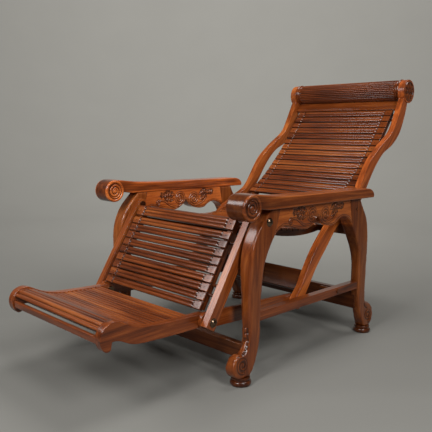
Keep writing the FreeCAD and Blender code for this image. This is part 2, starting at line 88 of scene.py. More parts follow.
# Points closer than this are one; faces under the first angle are one, and edges over the second are sharp
WELD = 1e-5
FLAT = math.radians(1.0)
SHARP = math.radians(32)
MILLIMETRE = 0.001

# Steps across a rounded corner, from small pieces to the back's rails
FINE_STEPS, BAR_STEPS, BOARD_STEPS, RAIL_STEPS = 2, 3, 4, 6


class ChairFinish(PropertyGroup):
    """Colours and gloss of the polished wood and the metal."""
    dark: FloatVectorProperty(name="Dark streaks", description="Darkest streaks of the wood",
                              default=(0.048, 0.0085, 0.0018), subtype="COLOR", min=0, max=1)
    body: FloatVectorProperty(name="Body colour", description="Main colour of the wood",
                              default=(0.200, 0.0430, 0.0075), subtype="COLOR", min=0, max=1)
    light: FloatVectorProperty(name="Light streaks", description="Lightest streaks of the wood",
                               default=(0.420, 0.1200, 0.0240), subtype="COLOR", min=0, max=1)
    # Painted shade: this colour darkens the carving's hollows, the valleys of reeds and grooves, the slats'
    # undersides and the scroll drums; in the carving's hollows it also stands for old wax.
    painted_shade_and_wax: FloatVectorProperty(name="Recesses", description="Old wax and polish in the carving's hollows",
                                default=(0.020, 0.007, 0.004), subtype="COLOR", min=0, max=1)
    metal: FloatVectorProperty(name="Bolts", description="Darkened brass of the bolts and pins",
                               default=(0.105, 0.070, 0.045), subtype="COLOR", min=0, max=1)
    roughness: FloatProperty(name="Roughness", description="Roughness of the wood under its polish",
                             default=0.40, min=0, max=1)
    polish: FloatProperty(name="Polish", description="Weight of the clear polish", default=0.75, min=0, max=1)


class ChairEdges(PropertyGroup):
    """How far each kind of piece is rounded at its corners."""
    rail: FloatProperty(name="Back rails", description="Rounding of the S-shaped rails",
                        default=0.0085, unit="LENGTH")
    board: FloatProperty(name="Boards", description="Rounding of the arms and the footrest's sides",
                         default=0.0045, unit="LENGTH")
    bar: FloatProperty(name="Bars", description="Rounding of the stretchers and the seat's rails",
                       default=0.0028, unit="LENGTH")
    small: FloatProperty(name="Small parts", description="Rounding of pegs, pins and washers",
                         default=0.0006, unit="LENGTH")


class ChairCarving(PropertyGroup):
    """Depths and counts of the carving."""
    skin: FloatProperty(name="Carving grain", description="Spacing of the carved surface's points",
                        default=0.0012, unit="LENGTH")
    leg_skin: FloatProperty(name="Leg grain", description="Spacing of the legs' surface points",
                            default=0.0024, unit="LENGTH")
    relief: FloatProperty(name="Relief", description="How far the carving stands up",
                          default=0.0015, unit="LENGTH")
    ground: FloatProperty(name="Ground", description="How far the ground round the carving is cut down",
                          default=0.0014, unit="LENGTH")
    spiral_turns: FloatProperty(name="Spiral turns", description="Turns of the aprons' spirals", default=2.6)
    arm_turns: FloatProperty(name="Arm scroll turns", description="Turns of the arm scrolls", default=1.7)
    roll_reeds: IntProperty(name="Reeds", description="Reeds round the head roll", default=30)
    petals: IntProperty(name="Petals", description="Petals of the head rosettes", default=8)


class ChairStage(PropertyGroup):
    """Floor and lamps."""
    floor: FloatVectorProperty(name="Floor", description="Colour of the floor and the backdrop",
                               default=(0.190, 0.185, 0.168), subtype="COLOR", min=0, max=1)
    level: FloatProperty(name="Level floor", description="Radius of the level floor",
                         default=3.2, unit="LENGTH")
    wall: FloatProperty(name="Wall", description="Radius of the round backdrop", default=6.0, unit="LENGTH")
    high: FloatProperty(name="Wall height", description="Height of the backdrop", default=4.6, unit="LENGTH")
    key: FloatProperty(name="Front lamp", description="Power of the lamp in front",
                       default=56, unit="POWER")
    side: FloatProperty(name="Side lamp", description="Power of the lamp at the side",
                        default=46, unit="POWER")
    left: FloatProperty(name="Left lamp", description="Power of the faint lamp in front, to the left",
                        default=13, unit="POWER")
    top: FloatProperty(name="Top lamp", description="Power of the lamp overhead", default=54, unit="POWER")
    wall_lamp: FloatProperty(name="Wall lamp", description="Power of the lamp on the backdrop",
                             default=430, unit="POWER")
    sky: FloatProperty(name="Sky", description="Strength of the even light", default=0.006, min=0)


# Colours and materials

# Streaks: their size across and along the grain in metres, their detail and how far they wander
FIGURE = ((0.020, 0.020, 0.34), 4.0, 0.9)
FINE_GRAIN = ((0.0042, 0.0042, 0.11), 3.0, 0.3)
PORES = ((0.0012, 0.0012, 0.022), 2.0, 0.1)
PATCHES = ((0.16, 0.16, 0.30), 2.0, 0.2)
WORN_PATCHES = ((0.006, 0.006, 0.006), 5.0, 0.4)
MOTTLE = ((0.5, 0.5, 0.5), 3.0, 0.0)
STREAK_ROUGHNESS = 0.55

# How much each kind of streak, and each slat's own shade, says in the wood's colour,
# and where its three colours lie on the scale of their sum
FIGURE_SHARE, FINE_SHARE, PATCH_SHARE, SHADE_SHARE = 0.62, 0.26, 0.30, 0.08
DARK_AT, BODY_AT, LIGHT_AT = 0.40, 0.60, 0.84

# The noise at which a pore is full and at which it ends, and how dark it is
PORE_FULL, PORE_ENDS, PORE_DARK = 0.30, 0.44, 0.42

# The wood's gloss: how far its roughness swings, the polish over it, and the bump of its grain
ROUGH_SWING = 0.22
POLISH_ROUGHNESS = 0.19
WOOD_IOR = 1.45
WOOD_SPECULAR = 0.12
BUMP_STRENGTH, BUMP_DEEP = 0.22, 0.0005

# The brass: how much lighter it is where it is worn, its least roughness and how far that swings
WORN_LIGHTER = 2.4
BRASS_ROUGHNESS, BRASS_SWING = 0.14, 0.2

# The floor: how dark its mottling is, and its dull finish
MOTTLE_DARKER = 0.93
FLOOR_ROUGHNESS, FLOOR_SPECULAR = 0.85, 0.2

# Each kind of wood: the slope of its grain, and how light it is as a share of the chair's colours
# These shares are partly painted light and shade: the back rails, the aprons and the far arm are lighter as
# painted light, and the legs, the rear ones most, are darker as painted shade.
WOODS = {
    "frame_level": (LEVEL, 1.0),
    "frame_back": (BACK_SLOPE, 1.0),
    "frame_leg": (LEG_SLOPE, 1.0),
    "leg_front": (UPRIGHT, 0.84),
    "leg_rear": (UPRIGHT, 0.70),
    "leg_rail": (LEG_SLOPE, 1.05),
    "back_rail_left": (BACK_SLOPE, 1.9),
    "back_rail_right": (BACK_SLOPE, 1.2),
    "arm_left": (LEVEL, 1.0),
    "arm_right": (LEVEL, 2.2),
    "apron_left": (LEVEL, 1.4),
    "apron_right": (LEVEL, 1.9),
    "slat": (ACROSS, 0.86),
    # Painted shade: the dark kinds darken the shadowed stretchers, seat rails, bearers and cross board; the
    # pegs and plugs are darker wood.
    "dark_across": (ACROSS, 0.36),
    "dark_level": (LEVEL, 0.36),
    "dark_upright": (UPRIGHT, 0.36),
}

# The colour sockets of a Mix node
MIX_FIRST, MIX_SECOND, MIX_RESULT = 6, 7, 2


def new_material(name):
    """An empty material, with its nodes, links and shader."""
    material = bpy.data.materials.new(name)
    material.use_nodes = True
    nodes, links = material.node_tree.nodes, material.node_tree.links
    return material, nodes, links, nodes["Principled BSDF"]


def texture_place(nodes, links, slope, size):
    """Object coordinates turned so that their Z follows the grain, divided by a streak's size."""
    coordinates = nodes.new("ShaderNodeTexCoord")
    place = nodes.new("ShaderNodeMapping")
    place.vector_type = "TEXTURE"
    if slope is ACROSS:
        place.inputs["Rotation"].default_value = (0, math.pi / 2, 0)
    else:
        place.inputs["Rotation"].default_value = (math.radians(slope) - math.pi / 2, 0, 0)
    place.inputs["Scale"].default_value = size
    links.new(coordinates.outputs["Object"], place.inputs["Vector"])
    return place.outputs["Vector"]


def streaks(nodes, links, slope, kind):
    """Noise drawn out along the grain."""
    size, detail, wander = kind
    noise = nodes.new("ShaderNodeTexNoise")
    noise.inputs["Scale"].default_value = 1.0
    noise.inputs["Detail"].default_value = detail
    noise.inputs["Roughness"].default_value = STREAK_ROUGHNESS
    noise.inputs["Distortion"].default_value = wander
    links.new(texture_place(nodes, links, slope, size), noise.inputs["Vector"])
    return noise.outputs["Fac"]


def carried(nodes, name):
    """A value that a mesh's points carry."""
    reader = nodes.new("ShaderNodeAttribute")
    reader.attribute_name = name
    return reader.outputs["Fac"]


def reckon(nodes, links, operation, first, second):
    """One sum on two values; each is a socket or a number."""
    sum_node = nodes.new("ShaderNodeMath")
    sum_node.operation = operation
    for socket, value in zip(sum_node.inputs, (first, second)):
        if isinstance(value, (int, float)):
            socket.default_value = value
        else:
            links.new(value, socket)
    return sum_node.outputs["Value"]


def mixed(nodes, links, amount, first, second):
    """Two colours mixed by a socket; each colour is a socket or a colour."""
    mix = nodes.new("ShaderNodeMix")
    mix.data_type = "RGBA"
    links.new(amount, mix.inputs["Factor"])
    for place, colour in ((MIX_FIRST, first), (MIX_SECOND, second)):
        if isinstance(colour, bpy.types.NodeSocket):
            links.new(colour, mix.inputs[place])
        else:
            mix.inputs[place].default_value = (*colour, 1)
    return mix.outputs[MIX_RESULT]


def wood(kind):
    """Polished hardwood with its grain along a slope of the side view, or across the chair."""
    name = "polished_" + kind
    if name in bpy.data.materials:
        return bpy.data.materials[name]
    slope, depth = WOODS[kind]
    finish = bpy.context.scene.chair_finish
    material, nodes, links, shader = new_material(name)
    figure, fine, pores, patch = (streaks(nodes, links, slope, streak)
                                  for streak in (FIGURE, FINE_GRAIN, PORES, PATCHES))

    amount = reckon(nodes, links, "MULTIPLY", figure, FIGURE_SHARE)
    for part, share in ((fine, FINE_SHARE), (patch, PATCH_SHARE), (carried(nodes, "tone"), SHADE_SHARE)):
        amount = reckon(nodes, links, "ADD", amount, reckon(nodes, links, "MULTIPLY", part, share))
    ramp = nodes.new("ShaderNodeValToRGB")
    stops = ramp.color_ramp.elements
    stops[0].position, stops[1].position = DARK_AT, LIGHT_AT
    stops.new(BODY_AT)
    for stop, colour in zip(stops, (finish.dark, finish.body, finish.light)):
        stop.color = (*(part * depth for part in colour), 1)
    links.new(amount, ramp.inputs["Fac"])

    pits = nodes.new("ShaderNodeMapRange")
    for socket, value in (("From Min", PORE_FULL), ("From Max", PORE_ENDS), ("To Min", PORE_DARK),
                          ("To Max", 0)):
        pits.inputs[socket].default_value = value
    links.new(pores, pits.inputs["Value"])
    colour = mixed(nodes, links, pits.outputs["Result"], ramp.outputs["Color"], finish.dark)
    # Painted shade: where the points carry it, the colour is darkened towards the recesses colour.
    colour = mixed(nodes, links, carried(nodes, "painted_shade"), colour, finish.painted_shade_and_wax)
    links.new(colour, shader.inputs["Base Color"])

    rough = reckon(nodes, links, "MULTIPLY", fine, ROUGH_SWING)
    rough = reckon(nodes, links, "ADD", rough, finish.roughness - ROUGH_SWING / 2)
    links.new(rough, shader.inputs["Roughness"])
    shader.inputs["Coat Weight"].default_value = finish.polish
    shader.inputs["Coat Roughness"].default_value = POLISH_ROUGHNESS
    shader.inputs["IOR"].default_value = WOOD_IOR
    shader.inputs["Specular IOR Level"].default_value = WOOD_SPECULAR

    bump = nodes.new("ShaderNodeBump")
    bump.inputs["Strength"].default_value = BUMP_STRENGTH
    bump.inputs["Distance"].default_value = BUMP_DEEP
    links.new(reckon(nodes, links, "ADD", fine, pores), bump.inputs["Height"])
    links.new(bump.outputs["Normal"], shader.inputs["Normal"])
    return material


def old_brass():
    """Darkened brass with worn lighter patches."""
    name = "darkened_brass"
    if name in bpy.data.materials:
        return bpy.data.materials[name]
    metal = bpy.context.scene.chair_finish.metal
    material, nodes, links, shader = new_material(name)
    patches = streaks(nodes, links, UPRIGHT, WORN_PATCHES)
    worn = [min(1.0, part * WORN_LIGHTER) for part in metal]
    links.new(mixed(nodes, links, patches, metal, worn), shader.inputs["Base Color"])
    rough = reckon(nodes, links, "MULTIPLY", patches, BRASS_SWING)
    links.new(reckon(nodes, links, "ADD", rough, BRASS_ROUGHNESS), shader.inputs["Roughness"])
    shader.inputs["Metallic"].default_value = 1.0
    return material


def floor_material(colour):
    """A matt, faintly mottled floor."""
    material, nodes, links, shader = new_material("studio_floor")
    mottle = streaks(nodes, links, UPRIGHT, MOTTLE)
    darker = [part * MOTTLE_DARKER for part in colour]
    links.new(mixed(nodes, links, mottle, colour, darker), shader.inputs["Base Color"])
    shader.inputs["Roughness"].default_value = FLOOR_ROUGHNESS
    shader.inputs["Specular IOR Level"].default_value = FLOOR_SPECULAR
    return material


# Shapes

def cad_copy(node):
    """A CAD node's mesh with its points merged and its flat triangles joined into whole faces."""
    bm = bmesh.new()
    bm.from_mesh(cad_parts[node].data)
    for layers in (bm.loops.layers.int, bm.loops.layers.float_vector, bm.loops.layers.uv):
        for layer in list(layers.values()):
            layers.remove(layer)
    bmesh.ops.remove_doubles(bm, verts=bm.verts, dist=WELD)
    bmesh.ops.dissolve_limit(bm, angle_limit=FLAT, verts=bm.verts, edges=bm.edges)
    return bm


def corners(bm):
    """The edges at a piece's outward corners."""
    chosen = []
    for edge in bm.edges:
        if len(edge.link_faces) == 2 and edge.is_convex and edge.calc_face_angle() > SHARP:
            chosen.append(edge)
    return chosen


def soften(bm, width, steps):
    """Rounds the outward corners."""
    bmesh.ops.bevel(bm, geom=corners(bm), offset=width, offset_type="OFFSET", affect="EDGES",
                    segments=steps, profile=0.5, material=-1, clamp_overlap=True)


def islands(bm):
    """The separate solids of a piece, as lists of points."""
    seen = set()
    groups = []
    for start in bm.verts:
        if start in seen:
            continue
        group = [start]
        seen.add(start)
        for vert in group:
            for edge in vert.link_edges:
                other = edge.other_vert(vert)
                if other not in seen:
                    seen.add(other)
                    group.append(other)
        groups.append(group)
    return groups


def point_values(bm, name):
    """The layer of a value that the points carry, made where it is missing."""
    return bm.verts.layers.float.get(name) or bm.verts.layers.float.new(name)


def give_tones(bm, seed):
    """Each separate solid gets its own shade of the wood."""
    tone = point_values(bm, "tone")
    shades = random.Random(seed)
    for group in islands(bm):
        shade = shades.uniform(-1, 1)
        for vert in group:
            vert[tone] = shade


def finished(name, bm, body, material, replaced, weighted=True):
    """Makes a bmesh into a piece that rides on a body and stands for CAD nodes."""
    give_tones(bm, name)
    mesh = bpy.data.meshes.new(name)
    bm.to_mesh(mesh)
    bm.free()
    mesh.shade_smooth()
    mesh.set_sharp_from_angle(angle=SHARP)
    mesh.materials.append(material)
    piece = bpy.data.objects.new(name, mesh)
    bpy.context.scene.collection.objects.link(piece)
    if weighted:
        even = piece.modifiers.new("Even shading", "WEIGHTED_NORMAL")
        even.keep_sharp = True
    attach(piece, body)
    if replaced:
        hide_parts(*replaced)


def dressed(node, body, material, width, steps=BAR_STEPS):
    """A CAD node with its corners rounded."""
    bm = cad_copy(node)
    soften(bm, width, steps)
    finished(node + "_finished", bm, body, material, [node])


def dense_skin(node, spacing):
    """An even, dense skin over a CAD node, ready for rounding and carving."""
    bm = cad_copy(node)
    mesh = bpy.data.meshes.new("blank")
    bm.to_mesh(mesh)
    bm.free()
    blank = bpy.data.objects.new("blank", mesh)
    bpy.context.scene.collection.objects.link(blank)
    skin = blank.modifiers.new("Skin", "REMESH")
    skin.mode = "VOXEL"
    skin.voxel_size = spacing
    dense = bpy.data.meshes.new_from_object(blank.evaluated_get(bpy.context.evaluated_depsgraph_get()))
    bpy.data.objects.remove(blank)
    bpy.data.meshes.remove(mesh)
    result = bmesh.new()
    result.from_mesh(dense)
    bpy.data.meshes.remove(dense)
    return result


def smooth(bm, rounds, verts=None):
    """Draws points towards the middle of their neighbours."""
    for _ in range(rounds):
        bmesh.ops.smooth_vert(bm, verts=verts or bm.verts, factor=0.5, use_axis_x=True, use_axis_y=True,
                              use_axis_z=True)


def turned(centre, along, profile, steps):
    """A solid of revolution. The profile's points are (distance along the axis, radius)."""
    bm = bmesh.new()
    axis = Vector(along)
    out = Vector((1, 0, 0)) if abs(axis.z) > abs(axis.x) else Vector((0, 0, 1))
    verts = [bm.verts.new(Vector(centre) + axis * away + out * radius) for away, radius in profile]
    edges = [bm.edges.new(pair) for pair in zip(verts, verts[1:])]
    bmesh.ops.spin(bm, geom=verts + edges, cent=centre, axis=axis, angle=2 * math.pi, steps=steps,
                   use_merge=True, use_duplicate=False)
    bmesh.ops.remove_doubles(bm, verts=bm.verts, dist=WELD)
    bmesh.ops.recalc_face_normals(bm, faces=bm.faces)
    return bm


def rounded(low, high, radius, bulge, steps=8):
    """Profile points of a bulging edge from one distance to another."""
    points = []
    for step in range(steps + 1):
        angle = math.pi * step / steps
        away = (low + high) / 2 - (high - low) / 2 * math.cos(angle)
        points.append((away, radius + bulge * math.sin(angle)))
    return points


# Carving: a motif is a list of strokes, and a stroke a list of (y, z, half width) along its ridge

# A stroke's and a vein's steps; a spiral's points in a turn, how far it winds in and thins, and its eye
STROKE_STEPS, VEIN_STEPS = 26, 10
SPIRAL_POINTS = 40
SPIRAL_INWARDS, SPIRAL_THINNING, SPIRAL_EYE = 0.88, 0.45, 1.15

# A leaf: its rib's and veins' half widths, where its veins start, its fullness along the rib,
# and how far across and along the leaf a vein is pulled and ends, all as shares
RIB_BASE, RIB_TIP, VEIN_TIP = 1.2, 0.5, 0.55
FIRST_VEIN, PAST_VEINS = 0.6, 0.4
LEAF_FROM, LEAF_RUN, LEAF_FULLNESS = 0.12, 0.80, 0.7
VEIN_PULL, VEIN_END = (0.75, 0.15), (1.0, 0.95)

# The half width at which a ridge stands full, the ground's fall round it, and the painted shade of the sunk
# ground and of a groove
FULL_RIDGE = 1.8 * MILLIMETRE
GROUND_FALL = 3
GROOVE_ROUND = 1.5
GROUND_SHADE, GROOVE_SHADE = 0.95, 0.9

# The spacing of the points along a board's lower edge
EDGE_STEP = 2 * MILLIMETRE


def bend(start, middle, end, wide, tip, steps=STROKE_STEPS):
    """A curved stroke through a middle point's pull, from one half width to another."""
    stroke = []
    for step in range(steps + 1):
        t = step / steps
        y = (1 - t) ** 2 * start[0] + 2 * t * (1 - t) * middle[0] + t * t * end[0]
        z = (1 - t) ** 2 * start[1] + 2 * t * (1 - t) * middle[1] + t * t * end[1]
        stroke.append((y, z, wide + (tip - wide) * t))
    return stroke


def spiral(centre, radius, turns, hand, start, wide):
    """A spiral stroke that narrows towards its eye, with the eye's bead at its end."""
    stroke = []
    steps = int(SPIRAL_POINTS * turns)
    for step in range(steps + 1):
        t = step / steps
        away = radius * (1 - t * SPIRAL_INWARDS)
        angle = math.radians(start) + hand * t * turns * 2 * math.pi
        stroke.append((centre[0] + away * math.cos(angle), centre[1] + away * math.sin(angle),
                       wide * (1 - SPIRAL_THINNING * t)))
    stroke.append((centre[0], centre[1], wide * SPIRAL_EYE))
    return stroke


def leaf(base, tip, sway, wide, veins, vein_wide):
    """A leaf: a rib from base to tip, and curved veins to both sides that end on its outline."""
    along = Vector(tip) - Vector(base)
    side = Vector((-along.y, along.x)) * sway
    middle = (Vector(base) + Vector(tip)) / 2 + side
    rib = bend(base, middle, tip, vein_wide * RIB_BASE, vein_wide * RIB_TIP)
    strokes = [rib]
    across = Vector((-along.y, along.x)).normalized()
    forward = along.normalized()
    for vein in range(veins):
        share = (vein + FIRST_VEIN) / (veins + PAST_VEINS)
        foot = Vector(rib[int(share * (len(rib) - 1))][:2])
        reach = wide * math.sin(math.pi * (LEAF_FROM + LEAF_RUN * share)) ** LEAF_FULLNESS
        for hand in (-1, 1):
            pull, end = (foot + across * hand * reach * out + forward * reach * on
                         for out, on in (VEIN_PULL, VEIN_END))
            strokes.append(bend(foot, pull, end, vein_wide, vein_wide * VEIN_TIP, VEIN_STEPS))
    return strokes


def edge_line(bm, low, high, inset, wide):
    """A stroke that follows a board's lower edge at an inset, between two places along Y."""
    columns = {}
    for vert in bm.verts:
        if low < vert.co.y < high:
            column = round(vert.co.y / EDGE_STEP)
            columns[column] = min(columns.get(column, vert.co.z), vert.co.z)
    line = [(column * EDGE_STEP, columns[column]) for column in sorted(columns)]
    stroke = []
    for before, place, after in zip(line, line[2:], line[4:]):
        along = (Vector(after) - Vector(before)).normalized()
        stroke.append((place[0] - along.y * inset, place[1] + along.x * inset, wide))
    return stroke


def carve(bm, strokes, relief, ground, spread, outward, facing):
    """Raises ridges along strokes from faces that look along X, sinks the ground round them and paints shade
    into the sunk ground.
    """
    tree = KDTree(sum(len(stroke) for stroke in strokes))
    widths = []
    for stroke in strokes:
        for y, z, wide in stroke:
            tree.insert((0, y, z), len(widths))
            widths.append(wide)
    tree.balance()
    bm.normal_update()
    painted_shade = point_values(bm, "painted_shade")
    moves = []
    for vert in bm.verts:
        if vert.normal.x * outward < facing:
            continue
        ridge = 0.0
        nearest = spread
        for _, index, away in tree.find_range((0, vert.co.y, vert.co.z), spread):
            wide = widths[index]
            nearest = min(nearest, away)
            if away < wide:
                ridge = max(ridge, math.sqrt(1 - (away / wide) ** 2) * min(1.0, wide / FULL_RIDGE))
        if nearest >= spread:
            continue
        sunk = 1 - (nearest / spread) ** GROUND_FALL
        moves.append((vert, ridge * (relief + ground * sunk) - ground * sunk, sunk * (1 - ridge)))
    for vert, height, shade in moves:
        vert.co.x += outward * height
        # Painted shade in the sunk ground beside the ridges.
        vert[painted_shade] = max(vert[painted_shade], GROUND_SHADE * shade)


def groove(bm, stroke, depth, outward, facing):
    """Cuts a rounded groove along a stroke into faces that look along X, and paints shade into it."""
    tree = KDTree(len(stroke))
    for index, (y, z, _) in enumerate(stroke):
        tree.insert((0, y, z), index)
    tree.balance()
    bm.normal_update()
    painted_shade = point_values(bm, "painted_shade")
    for vert in bm.verts:
        if vert.normal.x * outward < facing:
            continue
        _, index, away = tree.find((0, vert.co.y, vert.co.z))
        wide = stroke[index][2]
        if away < wide:
            cut = (1 - (away / wide) ** 2) ** GROOVE_ROUND
            vert.co.x -= outward * depth * cut
            vert[painted_shade] = max(vert[painted_shade], GROOVE_SHADE * cut)


# Aprons

# The cusp in the middle of an apron's lower edge, as (y, z) in metres
CUSP = Vector((0.0191, 0.4850))

# The half widths of the stems and of the leaves' veins, and how far a stem thins
STEM = 2.9 * MILLIMETRE
VEIN = 1.7 * MILLIMETRE
STEM_THIN, STEM_TIP = 0.8, 0.6

# The radii of the two large spirals and of the tendril at the vine's end, and its turns and half width
FRONT_SPIRAL, REAR_SPIRAL, TENDRIL = 29 * MILLIMETRE, 28 * MILLIMETRE, 9 * MILLIMETRE
TENDRIL_TURNS, TENDRIL_WIDE = 1.4, 0.65

# The leaves: base and tip in millimetres from the cusp, sway, half width in millimetres, and pairs of veins
APRON_LEAVES = (((-68, 26), (-112, 37), 0.10, 10, 3), ((-70, 6), (-116, 14), -0.14, 13, 3),
                ((-104, 26), (-138, 24), -0.08, 9, 2), ((74, 20), (112, 35), 0.12, 10, 3),
                ((78, -2), (114, 18), -0.12, 9, 3), ((112, 26), (152, 30), -0.10, 9, 3))

# How far the ground is cut round the carving and round the line along the lower edge, that line's place
# in from the edge and the ends, its half width and its shares of the relief and the ground
APRON_SPREAD, LINE_SPREAD = 0.0058, 0.0050
LINE_IN, LINE_ENDS, LINE_WIDE = 0.0055, 0.004, 0.0020
LINE_RELIEF, LINE_GROUND = 0.6, 0.7
APRON_FACING = 0.75
APRON_ROUNDS = 4


def by_cusp(y, z):
    """A place by its millimetres behind and above the aprons' cusp."""
    return (CUSP.x + y * MILLIMETRE, CUSP.y + z * MILLIMETRE)


def apron_strokes(turns):
    """The carving of an apron: counter spirals beside the cusp, a vine in front of them, and foliage."""
    strokes = [
        spiral(by_cusp(-37, 9), FRONT_SPIRAL, turns, 1, -90, STEM),
        spiral(by_cusp(43, 4), REAR_SPIRAL, turns, -1, -90, STEM),
        bend(by_cusp(-37, -20), by_cusp(-78, -28), by_cusp(-104, -6), STEM, STEM * STEM_THIN),
        bend(by_cusp(-104, -6), by_cusp(-122, 8), by_cusp(-146, 4), STEM * STEM_THIN, STEM * STEM_TIP),
        spiral(by_cusp(-150, -3), TENDRIL, TENDRIL_TURNS, 1, 90, STEM * TENDRIL_WIDE),
        bend(by_cusp(43, -24), by_cusp(88, -24), by_cusp(112, 4), STEM, STEM * STEM_TIP),
    ]
    for base, tip, sway, wide, veins in APRON_LEAVES:
        strokes += leaf(by_cusp(*base), by_cusp(*tip), sway, wide * MILLIMETRE, veins, VEIN)
    return strokes


def build_aprons(carving):
    """The aprons, carved on both sides."""
    strokes = apron_strokes(carving.spiral_turns)
    for side in SIDES:
        bm = dense_skin("apron_" + side, carving.skin)
        smooth(bm, APRON_ROUNDS)
        line = edge_line(bm, APRON_LOW.y + LINE_ENDS, APRON_HIGH.y - LINE_ENDS, LINE_IN, LINE_WIDE)
        for outward in (-1, 1):
            carve(bm, strokes, carving.relief, carving.ground, APRON_SPREAD, outward, APRON_FACING)
            carve(bm, [line], carving.relief * LINE_RELIEF, carving.ground * LINE_GROUND, LINE_SPREAD,
                  outward, APRON_FACING)
        smooth(bm, 1)
        finished("apron_" + side + "_carved", bm, "frame", wood("apron_" + side),
                 ["apron_" + side], weighted=False)


# Legs

# A leg is rounded this often below one height, and less and less up to another, where it stays square;
# its foot, below the third height, is rounded only in the first rounds
LEG_ROUNDS, FOOT_ROUNDS = 26, 9
LEG_ROUND, LEG_SQUARE, ROUND_FOOT_TOP = 0.33, 0.50, 0.165
SKIN_ROUNDS = 3

# The spiral on a foot's sides: its eye in from the toe and up from the floor, radius, turns, half width,
# relief, ground and spread
FOOT_EYE = (0.040, 0.066)
FOOT_SPIRAL, FOOT_TURNS, FOOT_BEAD = 0.024, 1.75, 0.0036
FOOT_RELIEF, FOOT_GROUND, FOOT_SPREAD = 0.0020, 0.0022, 0.0075
SPIRAL_FACING = 0.4

# The groove that frames it: its course from the same place, half widths, depth and steps
FOOT_GROOVE = ((0.066, 0.116), (0.060, 0.100), (0.042, 0.0945))
GROOVE_FROM, GROOVE_TO, GROOVE_DEEP, GROOVE_STEPS = 0.0042, 0.0046, 0.0040, 30
GROOVE_FACING = 0.3

# The strap down the instep: its heights with its half widths there, and the groove at its sides
STRAP_HIGH, STRAP_LOW = 0.158, 0.098
STRAP_NARROW, STRAP_WIDE = 0.0052, 0.0125
STRAP_GROOVE_WIDE, STRAP_GROOVE_DEEP = 0.0036, 0.0032
STRAP_FROM, STRAP_TO = -0.25, 1.1

# The husk on the strap: the height, reach and rise of its swellings, and their width against the strap's
HUSK = ((0.164, 0.0090, 0.0064), (0.146, 0.0085, 0.0064), (0.106, 0.024, 0.0050))
HUSK_WIDE = 1.3

# What counts as the instep: below this height, and facing out this much
INSTEP_TOP, INSTEP_FACING = 0.2, 0.1


def round_leg(bm):
    """Rounds a leg, fully below its knee, less and less above it, and less at its foot."""
    for step in range(LEG_ROUNDS):
        limit = LEG_SQUARE - (LEG_SQUARE - LEG_ROUND) * step / LEG_ROUNDS
        start = ROUND_FOOT_TOP if step >= FOOT_ROUNDS else 0.0
        smooth(bm, 1, [vert for vert in bm.verts if start <= vert.co.z < limit])


def carve_instep(bm, middle, out):
    """The husk over a foot's instep, and the grooves at the strap's sides with painted shade in them."""
    bm.normal_update()
    painted_shade = point_values(bm, "painted_shade")
    moves = []
    for vert in bm.verts:
        if vert.normal.y * out < INSTEP_FACING or vert.co.z > INSTEP_TOP:
            continue
        off = abs(vert.co.x - middle)
        share = (STRAP_HIGH - vert.co.z) / (STRAP_HIGH - STRAP_LOW)
        edge = STRAP_NARROW + (STRAP_WIDE - STRAP_NARROW) * min(1.0, max(0.0, share))
        rise = 0.0
        for height, reach, swell in HUSK:
            away = (vert.co.z - height) / reach
            if abs(away) < 1 and off < edge * HUSK_WIDE:
                across = off / edge / HUSK_WIDE
                rise = max(rise, swell * math.sqrt(1 - away * away) * math.sqrt(1 - across ** 2))
        away = abs(off - edge) / STRAP_GROOVE_WIDE
        if away < 1 and STRAP_FROM < share < STRAP_TO:
            cut = (1 - away * away) ** GROOVE_ROUND
            rise -= STRAP_GROOVE_DEEP * cut
            vert[painted_shade] = max(vert[painted_shade], GROOVE_SHADE * cut)
        moves.append((vert, vert.normal * rise))
    for vert, move in moves:
        vert.co += move


def build_foot(bm, low, high, out):
    """The carving of a foot: the husk over its instep, and the spiral and its groove on its sides."""
    toe = low.y if out < 0 else high.y
    eye, *course = ((toe - out * inwards, height) for inwards, height in (FOOT_EYE, *FOOT_GROOVE))
    carve_instep(bm, (low.x + high.x) / 2, out)
    for outward in (-1, 1):
        groove(bm, bend(*course, GROOVE_FROM, GROOVE_TO, GROOVE_STEPS), GROOVE_DEEP, outward, GROOVE_FACING)
        carve(bm, [spiral(eye, FOOT_SPIRAL, FOOT_TURNS, out, -90, FOOT_BEAD)], FOOT_RELIEF, FOOT_GROUND,
              FOOT_SPREAD, outward, SPIRAL_FACING)


def build_legs(carving):
    """The cabriole legs with their carved feet."""
    for end in ENDS:
        for side in SIDES:
            node = end + "_leg_" + side
            bm = dense_skin(node, carving.leg_skin)
            smooth(bm, SKIN_ROUNDS)
            round_leg(bm)
            build_foot(bm, *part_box(node), -1 if end == "front" else 1)
            smooth(bm, 1)
            finished(node + "_shaped", bm, "frame", wood("leg_" + end), [node], weighted=False)


# A foot pad's profile: how far its roll bulges and its foot is chamfered, the heights of the roll's top,
# the neck and the collar as shares, and the neck's, collar's and top's depth and bulge
PAD_BULGE, PAD_CHAMFER = 0.005, 0.002
PAD_ROLL_TOP, PAD_NECK, PAD_COLLAR = 0.62, 0.66, 0.70
NECK_DEEP, COLLAR_DEEP, COLLAR_BULGE, COLLAR_STEPS = 0.0012, 0.0004, 0.0016, 5
PAD_TOP_IN = 0.006
PAD_SPOKES = 64


